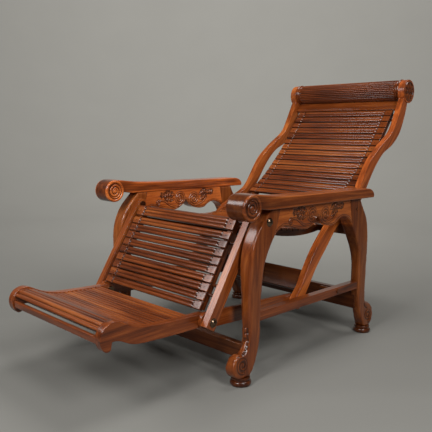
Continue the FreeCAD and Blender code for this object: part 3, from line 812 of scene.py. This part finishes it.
def build_pads():
    """The turned pads under the feet."""
    for end in ENDS:
        for side in SIDES:
            node = end + "_foot_pad_" + side
            low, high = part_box(node)
            tall = high.z - low.z
            wide = (high.x - low.x) / 2
            face = wide - PAD_BULGE
            profile = [(0, 0), (0, face - PAD_CHAMFER)]
            profile += rounded(0.0, tall * PAD_ROLL_TOP, face, wide - face)
            profile += [(tall * PAD_NECK, face - NECK_DEEP)]
            profile += rounded(tall * PAD_COLLAR, tall, face - COLLAR_DEEP, COLLAR_BULGE, COLLAR_STEPS)
            profile += [(tall, face - PAD_TOP_IN), (tall, 0)]
            centre = ((low.x + high.x) / 2, (low.y + high.y) / 2, low.z)
            bm = turned(centre, (0, 0, 1), profile, PAD_SPOKES)
            finished(node + "_turned", bm, "frame", wood("dark_upright"), [node])


# Arms

# The end of a scroll: its rings and spokes, and its skirt behind the face, inside the drum, in metres
SCROLL_RINGS, SCROLL_SPOKES = 60, 144
SKIRT_BACK, SKIRT_SHOULDER, SKIRT_IN, FACE_BACK = 0.012, 0.008, 0.001, 0.0001

# Its rim, valley and eye as shares of its radius, how high and full they stand, and the bead's wall
SCROLL_RIM, SCROLL_VALLEY, SCROLL_EYE = 0.74, 0.65, 0.19
RIM_FULLNESS, RIM_DROP = 2.6, 0.6
VALLEY_SINK, EYE_LOW = 0.25, 0.25
BEAD_HALF, BEAD_RISE, BEAD_SINK = 0.44, 1.05, 0.25
SCROLL_HIGH, SCROLL_IN = 0.0042, 0.0002

# The painted shade of crests, of the valley, beside a bead and round the drum, and the drum's reach
CREST_SHADE, VALLEY_SHADE, BEAD_SHADE, DRUM_SHADE = 0.15, 0.95, 0.8, 0.68
DRUM_REACH = 1.04


def scroll_rise(share, angle, turns):
    """Height and painted shade of a scroll's end at a share of its radius and an angle, as a share of a turn.
    """
    if share > SCROLL_RIM:
        place = 2 * (share - SCROLL_RIM) / (1 - SCROLL_RIM) - 1
        if place < 0:
            return math.sqrt(1 - place * place), CREST_SHADE
        return (1 - place ** RIM_FULLNESS) ** 0.5 * (1 + RIM_DROP) - RIM_DROP, CREST_SHADE
    if share > SCROLL_VALLEY:
        across = (SCROLL_RIM - share) / (SCROLL_RIM - SCROLL_VALLEY)
        return -VALLEY_SINK * math.sin(math.pi * across), VALLEY_SHADE
    if share < SCROLL_EYE:
        return EYE_LOW + (1 - EYE_LOW) * math.sqrt(1 - (share / SCROLL_EYE) ** 2), CREST_SHADE
    winding = ((share - SCROLL_EYE) / (SCROLL_VALLEY - SCROLL_EYE) * turns + angle) % 1.0
    bead = max(0.0, 1 - abs(winding - 0.5) / BEAD_HALF)
    rise = BEAD_RISE * math.sqrt(1 - (1 - bead) ** 2) - BEAD_SINK
    return rise, CREST_SHADE + BEAD_SHADE * (1 - bead) ** 3


def scroll_end(centre, radius, outward, turns, hand):
    """The end of an arm's scroll: a round rim, a deep groove, and a spiral bead that ends in an eye."""
    skirt = [(-SKIRT_BACK, 0.0), (-SKIRT_BACK, radius - SKIRT_IN), (-SKIRT_SHOULDER, radius)]
    face = [(-FACE_BACK, radius * (1 - ring / SCROLL_RINGS)) for ring in range(SCROLL_RINGS)]
    bm = turned(centre, (outward, 0, 0), skirt + face + [(-FACE_BACK, 0.0)], SCROLL_SPOKES)
    painted_shade = point_values(bm, "painted_shade")
    for vert in bm.verts:
        # Painted shade: the skirt inside the drum takes the drum's shade, and the face the shade of its
        # crests, valley and bead sides.
        if (vert.co.x - centre[0]) * outward < -SKIRT_IN:
            vert[painted_shade] = DRUM_SHADE
            continue
        y, z = vert.co.y - centre[1], vert.co.z - centre[2]
        share = min(1.0, math.hypot(y, z) / radius)
        rise, vert[painted_shade] = scroll_rise(share, hand * math.atan2(z, y) / (2 * math.pi), turns)
        vert.co.x += outward * rise * SCROLL_HIGH
    return bm


def build_arms(edges, carving):
    """The arms, each with a carved end on both sides of its scroll."""
    for side in SIDES:
        sign = SIDE_SIGN[side]
        node = "arm_" + side
        low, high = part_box(node)
        radius = (high.z - low.z) / 2
        centre = Vector((0, low.y + radius, high.z - radius))
        bm = cad_copy(node)
        soften(bm, edges.board, BOARD_STEPS)
        # Painted shade darkens the whole drum of the scroll.
        painted_shade = point_values(bm, "painted_shade")
        for vert in bm.verts:
            if math.hypot(vert.co.y - centre.y, vert.co.z - centre.z) < radius * DRUM_REACH:
                vert[painted_shade] = DRUM_SHADE
        finished(node + "_rounded", bm, "frame", wood("arm_" + side), [node])
        for face, outward in (("outer", sign), ("inner", -sign)):
            place = high.x if outward > 0 else low.x
            bm = scroll_end((place, centre.y, centre.z), radius - SCROLL_IN, outward, carving.arm_turns,
                            -outward * sign)
            finished("arm_scroll_" + side + "_" + face, bm, "frame", wood("arm_" + side), [])


# Seat frame and slats

def build_stretchers(edges):
    """The stretchers between the legs, and the seat's rails and bearers."""
    for side in SIDES:
        # Painted shade: the bearers and the rails across take the dark wood for the shade under the seat.
        dressed("side_stretcher_" + side, "frame", wood("frame_level"), edges.bar)
        dressed("seat_bearer_" + side, "frame", wood("dark_level"), edges.small, FINE_STEPS)
    for node in ("front_stretcher", "rear_stretcher", "rear_seat_rail", "front_seat_rail"):
        dressed(node, "frame", wood("dark_across"), edges.bar)


# Reeds: rows of points across each, their width, depth and roundness
REED_ROWS = 8
REED_WIDE, REED_DEEP, REED_ROUND = 0.0125, 0.0032, 2.2

# A padded slat's columns of points in from each end, and a plain one's
SLAT_COLUMNS = (0.0, 0.0013, 0.004, 0.012, 0.020, 0.027,
                *(0.029 + step * 0.0011 for step in range(19)), 0.056)
PLAIN_COLUMNS = (0.0, 0.1)

# A slat's end pad: its length, how much longer it is beside a reed, its drop below the crest and its bevel
PAD_LONG, PAD_LONGER, PAD_ROUND = 0.0335, 0.0045, 1.5
PAD_DROP, PAD_BEVEL = 0.0010, 0.0016

# The scoops in which the reeds die: depth and slope of the wall up to the pad, and their length
SHALLOW_SCOOP, DEEP_SCOOP, NO_SCOOP = (0.0033, 0.45), (0.0048, 1.3), (0.0, 0.0)
SCOOP_LONG, SCOOP_ROUND = 0.012, 1.6

# The painted shade between reeds: the share of a reed's depth at which it starts, how fast it grows, and its
# most
REED_SHADE_FROM, REED_SHADE_GROWTH, REED_SHADE = 0.45, 1.8, 0.85


def slat_height(away, share, width, reeds, scoop):
    """Height of a slat's face below its crest: reeds that die in scoops before each end pad."""
    deep, wall = scoop
    from_ridge = abs((share * reeds) % 1.0 * 2 - 1)
    reed = -REED_DEEP * from_ridge ** REED_ROUND
    pad_end = PAD_LONG + PAD_LONGER * from_ridge ** PAD_ROUND
    if away > pad_end:
        run = min(1.0, (away - pad_end) / SCOOP_LONG)
        return min(reed, -deep * (1 - run) ** SCOOP_ROUND)
    in_from_side = min(share, 1 - share) * width
    rise = min(-PAD_DROP, -deep + (pad_end - away) * wall)
    return min(rise, -PAD_DROP - PAD_BEVEL + min(in_from_side, away))


def slat_places(node):
    """Where each slat lies: its middle, its two directions, its reach, width, crest and base."""
    places = []
    bm = cad_copy(node)
    for group in islands(bm):
        points = [vert.co.copy() for vert in group]
        reach = max(point.x for point in points)
        end = [point for point in points if point.x > reach - WELD]
        centre = sum(end, Vector()) / len(end)
        level = sum((point.y - centre.y) ** 2 for point in end)
        upright = sum((point.z - centre.z) ** 2 for point in end)
        both = sum((point.y - centre.y) * (point.z - centre.z) for point in end)
        angle = math.atan2(2 * both, level - upright) / 2
        across = Vector((0, math.cos(angle), math.sin(angle)))
        out = Vector((0, -math.sin(angle), math.cos(angle)))
        widths = [(point - centre).dot(across) for point in points]
        heights = [(point - centre).dot(out) for point in points]
        places.append((centre, across, out, reach, max(widths) - min(widths), max(heights), min(heights)))
    bm.free()
    return places


def reeded_slats(node, body, scoop):
    """The reeded slats of a CAD node; those with scoops have bevelled end pads too."""
    bm = bmesh.new()
    painted_shade = point_values(bm, "painted_shade")
    padded = scoop is not NO_SCOOP
    inwards = SLAT_COLUMNS if padded else PLAIN_COLUMNS
    columns = [(-1, away) for away in inwards] + [(1, away) for away in reversed(inwards)]
    for centre, across, out, reach, width, crest, base in slat_places(node):
        reeds = round(width / REED_WIDE)
        rows = reeds * REED_ROWS
        rings = []
        for sign, away in columns:
            outline = []
            for row in range(rows + 1):
                rise = slat_height(away if padded else reach, row / rows, width, reeds, scoop)
                # Painted shade darkens the valleys between the reeds and the slat's underside.
                shade = min(1.0, max(0.0, -rise / REED_DEEP - REED_SHADE_FROM) * REED_SHADE_GROWTH)
                outline.append((row / rows, crest + rise, REED_SHADE * shade))
            outline += [(1, base, REED_SHADE), (0, base, REED_SHADE)]
            ring = []
            for share, height, shade in outline:
                place = centre + across * (width * (share - 0.5)) + out * height
                ring.append(bm.verts.new((sign * (reach - away), place.y, place.z)))
                ring[-1][painted_shade] = shade
            rings.append(ring)
        loops = [[bm.edges.new(pair) for pair in zip(ring, ring[1:] + ring[:1])] for ring in rings]
        bmesh.ops.bridge_loops(bm, edges=sum(loops, []))
        for end in (loops[0], loops[-1]):
            bmesh.ops.contextual_create(bm, geom=end)
    bmesh.ops.recalc_face_normals(bm, faces=bm.faces)
    finished(node + "_finished", bm, body, wood("slat"), [node])


def build_slats(edges):
    """All the slats: the reeded ones, and the plain ones at the back's top and the footrest's nose."""
    for node, body, scoop in (("seat_slats", "frame", SHALLOW_SCOOP),
                              ("back_slats", "back", SHALLOW_SCOOP),
                              ("leg_slats", "leg_panel", DEEP_SCOOP),
                              ("leg_top_bar", "leg_panel", DEEP_SCOOP),
                              ("foot_slats", "footrest", NO_SCOOP)):
        reeded_slats(node, body, scoop)
    dressed("back_top_slat", "back", wood("slat"), edges.bar)
    dressed("foot_nose_slat", "footrest", wood("slat"), edges.board)


def build_pegs(edges):
    """The small turned pieces of dark wood."""
    for node, body in (("seat_slat_pegs", "frame"), ("back_slat_pegs", "back"),
                       ("leg_slat_pegs", "leg_panel"), ("joint_plugs", "frame"),
                       ("back_stop_pegs", "frame"), ("back_rods", "back"), ("leg_rods", "leg_panel"),
                       ("back_pivot_spacers", "frame"), ("leg_hinge_spacers", "frame")):
        dressed(node, body, wood("dark_across"), edges.small, FINE_STEPS)


def build_bolts(edges):
    """The bolts, pins and washers of darkened brass."""
    for node, body in (("leg_hinge_pins", "frame"), ("back_pivot_pins", "frame"), ("link_pins", "back"),
                       ("foot_hinge_bolts", "leg_panel"), ("foot_hinge_washers", "leg_panel")):
        dressed(node, body, old_brass(), edges.small, FINE_STEPS)


# Back

def build_back(edges):
    """The back's S-shaped rails, their battens and the cross board at the limbs' foot."""
    for side in SIDES:
        dressed("back_rail_" + side, "back", wood("back_rail_" + side), edges.rail, RAIL_STEPS)
        dressed("back_batten_" + side, "back", wood("frame_back"), edges.small, FINE_STEPS)
    # Painted shade: the cross board takes the dark wood for the shade it lies in.
    dressed("back_cross_board", "back", wood("dark_across"), edges.bar)


# The head roll: how far its body lies below its collars, rows of points round each reed, a reed's depth,
# its roundness, the painted shade in its grooves, and the plain length at each end
ROLL_SINK, ROLL_ROWS = 0.0025, 8
ROLL_REED_DEEP, ROLL_REED_ROUND = 0.0026, 0.6
ROLL_SHADE, ROLL_SHADE_ROUND = 0.9, 1.5
ROLL_PLAIN = 0.0225


def build_roll(carving):
    """The head roll: fine reeds between turned collars."""
    centre = (ROLL_LOW + ROLL_HIGH) / 2
    radius = (ROLL_HIGH.z - ROLL_LOW.z) / 2
    half = (ROLL_HIGH.x - ROLL_LOW.x) / 2
    body = radius - ROLL_SINK
    collar = [(0.0, radius - 0.010), (0.0005, radius - 0.004)] + rounded(0.001, 0.009, radius - 0.003, 0.003)
    collar += [(0.010, body - 0.004), (0.012, body - 0.005)] + rounded(0.013, 0.018, body - 0.003, 0.002, 5)
    collar += [(0.019, body - 0.004), (0.021, body - 0.001), (0.024, body)]
    profile = [(0.0, 0.0)] + collar
    profile += [(2 * half - away, wide) for away, wide in reversed(profile)]
    bm = turned(centre - Vector((half, 0, 0)), (1, 0, 0), profile, carving.roll_reeds * ROLL_ROWS)
    painted_shade = point_values(bm, "painted_shade")
    for vert in bm.verts:
        if abs(vert.co.x - centre.x) < half - ROLL_PLAIN:
            y, z = vert.co.y - centre.y, vert.co.z - centre.z
            crest = abs(math.cos(math.atan2(z, y) * carving.roll_reeds / 2))
            scale = 1 - ROLL_REED_DEEP * (1 - crest ** ROLL_REED_ROUND) / body
            # Painted shade in the grooves between the reeds.
            vert[painted_shade] = ROLL_SHADE * (1 - crest) ** ROLL_SHADE_ROUND
            vert.co.y = centre.y + y * scale
            vert.co.z = centre.z + z * scale
    finished("head_roll_reeded", bm, "back", wood("slat"), ["head_bolster"])


# A rosette: its eye's and rim's shares of the radius, the heights of rim and petals, the petals' fullness
# across and along, its face, relief and sink as shares of its thickness, the painted shade of its hollows,
# its rings and spokes
ROSETTE_EYE, ROSETTE_RIM = 0.22, 0.86
RIM_HIGH, PETAL_HIGH = 0.85, 0.9
PETAL_ACROSS, PETAL_ALONG = 0.7, 0.5
ROSETTE_FACE, ROSETTE_RELIEF, ROSETTE_SINK = 0.5, 0.9, 0.4
ROSETTE_SHADE = 0.8
ROSETTE_RINGS, ROSETTE_SPOKES = 34, 96


def rosette_rise(share, angle, petals):
    """Height of the carved flower at a share of its radius and an angle."""
    if share < ROSETTE_EYE:
        return math.sqrt(1 - (share / ROSETTE_EYE) ** 2)
    if share > ROSETTE_RIM:
        place = (share - ROSETTE_RIM) / (1 - ROSETTE_RIM)
        return RIM_HIGH * math.sqrt(max(0.0, 1 - (2 * place - 1) ** 2))
    petal = abs(math.cos(angle * petals / 2)) ** PETAL_ACROSS
    along = (share - ROSETTE_EYE) / (ROSETTE_RIM - ROSETTE_EYE)
    return PETAL_HIGH * petal * math.sin(math.pi * min(1.0, along)) ** PETAL_ALONG


def build_rosettes(carving):
    """The carved flowers at the ends of the head roll."""
    for side in SIDES:
        sign = SIDE_SIGN[side]
        node = "head_rosette_" + side
        low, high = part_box(node)
        centre = (low + high) / 2
        radius = (high.z - low.z) / 2
        base = low.x if sign > 0 else high.x
        thick = high.x - low.x
        face = thick * ROSETTE_FACE
        profile = [(0.0, 0.0), (0.0, radius)]
        profile += [(face, radius * (1 - ring / ROSETTE_RINGS)) for ring in range(ROSETTE_RINGS)]
        profile += [(face, 0.0)]
        bm = turned((base, centre.y, centre.z), (sign, 0, 0), profile, ROSETTE_SPOKES)
        painted_shade = point_values(bm, "painted_shade")
        for vert in bm.verts:
            if (vert.co.x - base) * sign < face / 2:
                continue
            away = Vector((vert.co.y - centre.y, vert.co.z - centre.z))
            rise = rosette_rise(min(1.0, away.length / radius), math.atan2(away.y, away.x), carving.petals)
            vert.co.x += sign * thick * (rise * ROSETTE_RELIEF - ROSETTE_SINK)
            # Painted shade in the hollows between the petals and the rim.
            vert[painted_shade] = ROSETTE_SHADE * (1 - rise) ** 2
        finished(node + "_carved", bm, "back", wood("frame_level"), [node])


# Leg panel, links and footrest

def build_leg_panel(edges):
    """The leg panel's rails and battens, the link bars and the footrest's sides."""
    for side in SIDES:
        for node, body, material, width, steps in (
                ("leg_rail_", "leg_panel", wood("leg_rail"), edges.board, BOARD_STEPS),
                ("leg_batten_", "leg_panel", wood("frame_leg"), edges.small, FINE_STEPS),
                ("link_bar_", "links", wood("frame_level"), edges.bar, BAR_STEPS),
                ("foot_rail_", "footrest", wood("frame_level"), edges.board, BOARD_STEPS)):
            dressed(node + side, body, material, width, steps)


# Stage

# The camera: its place in metres, its turn, downward tilt and roll in degrees, its lens in millimetres
CAMERA_PLACE = Vector((1.42213, -1.57528, 0.74099))
CAMERA_YAW = 44.23
CAMERA_DOWN = 7.79
CAMERA_ROLL = 0.88
CAMERA_LENS = 47.80
CAMERA_SENSOR = 36.0

# The lamps: each one's place and size in metres; all face the chair but the last, which faces the wall
FRONT_LAMP = ((0.45, -2.5, 2.0), (0.55, 1.4))
SIDE_LAMP = ((2.2, -0.8, 2.0), (0.7, 1.2))
LEFT_LAMP = ((-1.25, -1.7, 1.75), (0.4, 1.0))
TOP_LAMP = ((0.4, 0.9, 3.2), (1.3, 1.3))
WALL_LAMP = ((-0.9, 1.0, 4.0), (3.0, 1.0))
WALL_SPOT = (-4.3, 4.4, 2.6)
SKY_COLOUR = (0.97, 0.98, 1.0, 1)

# Steps of the curve from floor to wall, and of the backdrop's round
CURVE_STEPS, STAGE_SPOKES = 24, 128


def add_camera():
    """The camera at the photograph's angle."""
    yaw, down, roll = (math.radians(angle) for angle in (CAMERA_YAW, CAMERA_DOWN, CAMERA_ROLL))
    forward = Vector((-math.sin(yaw) * math.cos(down), math.cos(yaw) * math.cos(down), -math.sin(down)))
    level = forward.cross(Vector((0, 0, 1))).normalized()
    upright = level.cross(forward)
    right = math.cos(roll) * level + math.sin(roll) * upright
    up = -math.sin(roll) * level + math.cos(roll) * upright
    turn = Matrix((right, up, -forward)).transposed().to_4x4()
    data = bpy.data.cameras.new("camera")
    data.lens = CAMERA_LENS
    data.sensor_width = CAMERA_SENSOR
    camera = bpy.data.objects.new("camera", data)
    camera.matrix_world = Matrix.Translation(CAMERA_PLACE) @ turn
    bpy.context.scene.collection.objects.link(camera)
    bpy.context.scene.camera = camera


def add_lamp(name, lamp_place, target, power):
    """A rectangular softbox that faces a target."""
    place, size = lamp_place
    data = bpy.data.lights.new(name, "AREA")
    data.shape = "RECTANGLE"
    data.size, data.size_y = size
    data.energy = power
    lamp = bpy.data.objects.new(name, data)
    lamp.location = place
    lamp.rotation_euler = (Vector(target) - Vector(place)).to_track_quat("-Z", "Y").to_euler()
    bpy.context.scene.collection.objects.link(lamp)


def build_stage(stage):
    """A level floor that curves up into a round backdrop, five softboxes and an even sky."""
    curve = stage.wall - stage.level
    profile = [(0.0, 0.0), (0.0, stage.level / 2)]
    for step in range(CURVE_STEPS + 1):
        angle = math.pi / 2 * step / CURVE_STEPS
        profile.append((curve * (1 - math.cos(angle)), stage.level + curve * math.sin(angle)))
    profile.append((stage.high, stage.wall))
    bm = turned((0, 0, 0), (0, 0, 1), profile, STAGE_SPOKES)
    mesh = bpy.data.meshes.new("studio_floor")
    bm.to_mesh(mesh)
    bm.free()
    mesh.shade_smooth()
    mesh.materials.append(floor_material(stage.floor))
    floor = bpy.data.objects.new("studio_floor", mesh)
    bpy.context.scene.collection.objects.link(floor)
    floor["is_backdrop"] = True

    world = bpy.data.worlds.new("studio")
    world.use_nodes = True
    world.node_tree.nodes["Background"].inputs["Color"].default_value = SKY_COLOUR
    world.node_tree.nodes["Background"].inputs["Strength"].default_value = stage.sky
    bpy.context.scene.world = world
    middle = (CHAIR_LOW + CHAIR_HIGH) / 2
    add_lamp("front_softbox", FRONT_LAMP, middle, stage.key)
    add_lamp("side_softbox", SIDE_LAMP, middle, stage.side)
    add_lamp("left_softbox", LEFT_LAMP, middle, stage.left)
    add_lamp("top_softbox", TOP_LAMP, middle, stage.top)
    add_lamp("wall_softbox", WALL_LAMP, WALL_SPOT, stage.wall_lamp)
    bpy.context.scene.view_settings.view_transform = "Standard"
    add_camera()


# Operators

class CHAIR_OT_aprons(Operator):
    """Carve the two aprons"""
    bl_idname = "chair.aprons"
    bl_label = "Carved aprons"

    def execute(self, context):
        build_aprons(context.scene.chair_carving)
        return {"FINISHED"}


class CHAIR_OT_legs(Operator):
    """Shape the four legs and carve their feet"""
    bl_idname = "chair.legs"
    bl_label = "Legs"

    def execute(self, context):
        build_legs(context.scene.chair_carving)
        return {"FINISHED"}


class CHAIR_OT_pads(Operator):
    """Turn the four foot pads"""
    bl_idname = "chair.pads"
    bl_label = "Foot pads"

    def execute(self, context):
        build_pads()
        return {"FINISHED"}


class CHAIR_OT_arms(Operator):
    """Round the arms and carve their scrolls"""
    bl_idname = "chair.arms"
    bl_label = "Arms"

    def execute(self, context):
        build_arms(context.scene.chair_edges, context.scene.chair_carving)
        return {"FINISHED"}


class CHAIR_OT_stretchers(Operator):
    """Round the stretchers, the seat rails and the bearers"""
    bl_idname = "chair.stretchers"
    bl_label = "Stretchers and seat rails"

    def execute(self, context):
        build_stretchers(context.scene.chair_edges)
        return {"FINISHED"}


class CHAIR_OT_slats(Operator):
    """Finish all the reeded and plain slats"""
    bl_idname = "chair.slats"
    bl_label = "Slats"

    def execute(self, context):
        build_slats(context.scene.chair_edges)
        return {"FINISHED"}


class CHAIR_OT_pegs(Operator):
    """Finish the pegs, plugs, rods and spacers"""
    bl_idname = "chair.pegs"
    bl_label = "Pegs, plugs and rods"

    def execute(self, context):
        build_pegs(context.scene.chair_edges)
        return {"FINISHED"}


class CHAIR_OT_bolts(Operator):
    """Finish the metal bolts, pins and washers"""
    bl_idname = "chair.bolts"
    bl_label = "Bolts and pins"

    def execute(self, context):
        build_bolts(context.scene.chair_edges)
        return {"FINISHED"}


class CHAIR_OT_back(Operator):
    """Round the back's rails, battens and cross board"""
    bl_idname = "chair.back"
    bl_label = "Back rails"

    def execute(self, context):
        build_back(context.scene.chair_edges)
        return {"FINISHED"}


class CHAIR_OT_head(Operator):
    """Turn the reeded head roll and carve the rosettes"""
    bl_idname = "chair.head"
    bl_label = "Head roll and rosettes"

    def execute(self, context):
        build_roll(context.scene.chair_carving)
        build_rosettes(context.scene.chair_carving)
        return {"FINISHED"}


class CHAIR_OT_leg_panel(Operator):
    """Round the leg panel's rails, the link bars and the footrest's sides"""
    bl_idname = "chair.leg_panel"
    bl_label = "Leg panel, links and footrest"

    def execute(self, context):
        build_leg_panel(context.scene.chair_edges)
        return {"FINISHED"}


class CHAIR_OT_stage(Operator):
    """Lay the floor and set the lamps and the camera"""
    bl_idname = "chair.stage"
    bl_label = "Floor, lamps and camera"

    def execute(self, context):
        build_stage(context.scene.chair_stage)
        return {"FINISHED"}


OPERATORS = (CHAIR_OT_legs, CHAIR_OT_pads, CHAIR_OT_aprons, CHAIR_OT_arms, CHAIR_OT_stretchers,
             CHAIR_OT_slats, CHAIR_OT_pegs, CHAIR_OT_bolts, CHAIR_OT_back, CHAIR_OT_head,
             CHAIR_OT_leg_panel, CHAIR_OT_stage)


class CHAIR_PT_sidebar(Panel):
    """The chair's sizes, colours and building steps"""
    bl_idname = "CHAIR_PT_sidebar"
    bl_label = "Planters chair"
    bl_space_type = "VIEW_3D"
    bl_region_type = "UI"
    bl_category = "Planters chair"

    def draw(self, context):
        for name, group in GROUPS.items():
            box = self.layout.box()
            for field in group.__annotations__:
                box.prop(getattr(context.scene, name), field)
        for operator in OPERATORS:
            self.layout.operator(operator.bl_idname)


GROUPS = {"chair_finish": ChairFinish, "chair_edges": ChairEdges, "chair_carving": ChairCarving,
          "chair_stage": ChairStage}
CLASSES = (*GROUPS.values(), *OPERATORS, CHAIR_PT_sidebar)


def register():
    for item in CLASSES:
        bpy.utils.register_class(item)
    for name, group in GROUPS.items():
        setattr(bpy.types.Scene, name, PointerProperty(type=group))


def unregister():
    for name in GROUPS:
        delattr(bpy.types.Scene, name)
    for item in reversed(CLASSES):
        bpy.utils.unregister_class(item)


def main():
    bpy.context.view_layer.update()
    register()
    for operator in OPERATORS:
        step = operator.bl_idname.split(".")[1]
        getattr(bpy.ops.chair, step)()


if __name__ == "__main__":
    main()
